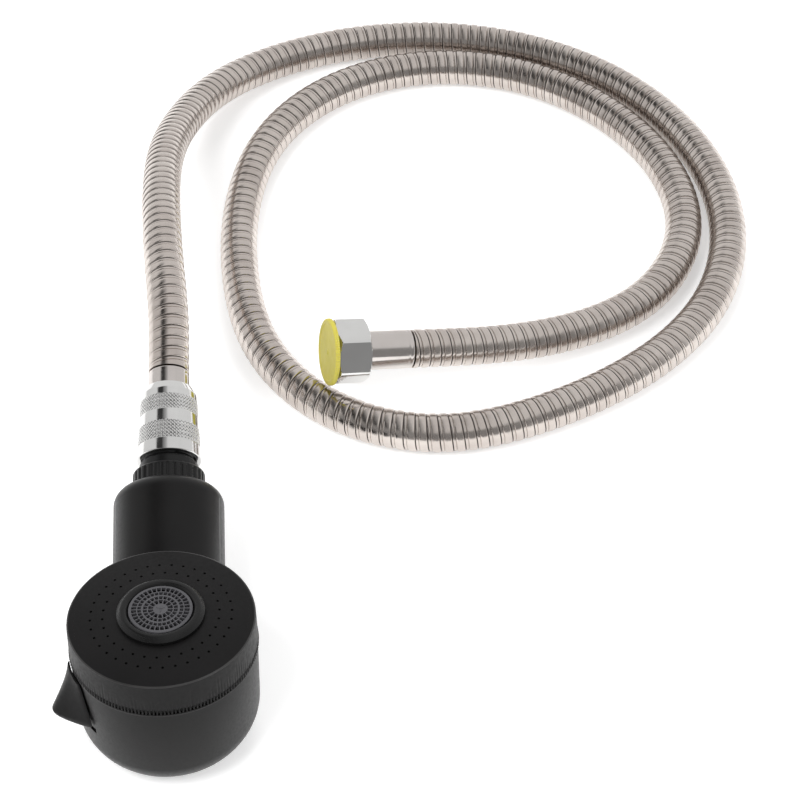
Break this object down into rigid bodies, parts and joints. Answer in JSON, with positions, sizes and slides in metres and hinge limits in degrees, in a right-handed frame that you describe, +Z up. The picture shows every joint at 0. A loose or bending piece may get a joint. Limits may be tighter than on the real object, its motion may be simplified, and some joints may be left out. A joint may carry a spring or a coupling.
{
  "type": "handheld bath sprayer",
  "caption": "Handheld pet bath sprayer: round spray head with a middle outlet and thumb lever on a barrel neck, and a ribbed steel hose with a conical nut, a hexagon nut and a plug-in cap",
  "frame": {"origin": "middle of the flat underside of the round head, on the surface that it lies on", "axes": "+Z up, +Y from the head along the neck towards the hose, +X to the right seen from the head"},
  "size_m": [0.2863, 0.4152, 0.064],
  "materials": {
    "black_shell": "fine satin moulding",
    "black_cap": "satin moulding with a ribbed skirt",
    "black_gloss": "semi-gloss moulding",
    "grey_plastic": "plain moulding",
    "white_plastic": "plain moulding, inside the head",
    "yellow_plastic": "slightly translucent moulding",
    "rubber": "smooth black rubber",
    "chrome": "bright plating",
    "hose_steel": "interlocked stainless strip",
    "steel": "plain steel",
    "brass": "turned brass"
  },
  "bodies": {
    "handset": {"body_shell": "black_shell", "valve_block": "white_plastic", "flow_divider": "white_plastic", "outlet_seat": "black_shell", "lever_pin": "steel", "block_screw_left": "steel", "block_screw_right": "steel", "inlet_tube": "white_plastic", "inlet_filter": "white_plastic", "inlet_connector": "black_gloss", "connector_seal": "rubber", "face_seal": "rubber", "centre_gasket": "rubber", "handset_washer": "rubber", "handset_barb": "brass", "handset_ferrule": "chrome", "hose_armour": "hose_steel", "hose_liner": "rubber", "tap_ferrule": "chrome", "tap_barb": "brass", "tap_washer": "rubber"},
    "front_cap": {"spray_face": "black_cap", "aerator_ring": "black_gloss", "aerator_grille": "grey_plastic", "aerator_body": "white_plastic", "aerator_screen": "steel", "aerator_washer": "rubber"},
    "lever": {"mode_lever": "black_gloss"},
    "spool": {"diverter_spool": "white_plastic", "spool_seal": "rubber"},
    "conical_nut": {"handset_nut": "chrome"},
    "hexagon_nut": {"tap_nut": "chrome"},
    "hose_cap": {"protective_cap": "yellow_plastic"}
  },
  "joints": [
    {"name": "cap_turn", "type": "hinge", "parent": "handset", "child": "front_cap", "pos_m": [0, 0, 0.014], "axis": [0, 0.1219, 0.9925], "range_deg": [0, 90]},
    {"name": "lever_rock", "type": "hinge", "parent": "handset", "child": "lever", "pos_m": [-0.02349, -0.00776, 0.021], "axis": [0.342, -0.9327, 0.1145], "range_deg": [0, 8]},
    {"name": "spool_slide", "type": "slide", "parent": "handset", "child": "spool", "axis": [0, 0.1219, 0.9925], "range_m": [0, 0.00335]},
    {"name": "conical_nut_turn", "type": "hinge", "parent": "handset", "child": "conical_nut", "pos_m": [0, 0.10606, 0.04242], "axis": [0, 0.9659, 0.2588], "continuous": true},
    {"name": "hexagon_nut_turn", "type": "hinge", "parent": "handset", "child": "hexagon_nut", "pos_m": [0.096, 0.1603, 0.022], "axis": [-0.9636, -0.1873, 0.1908], "continuous": true},
    {"name": "hose_cap_pull", "type": "slide", "parent": "hexagon_nut", "child": "hose_cap", "axis": [-0.9636, -0.1873, 0.1908], "range_m": [0, 0.03]}
  ],
  "couplings": [
    {"joint": "lever_rock", "follows": "spool_slide", "rad_per_m": 41.67}
  ]
}
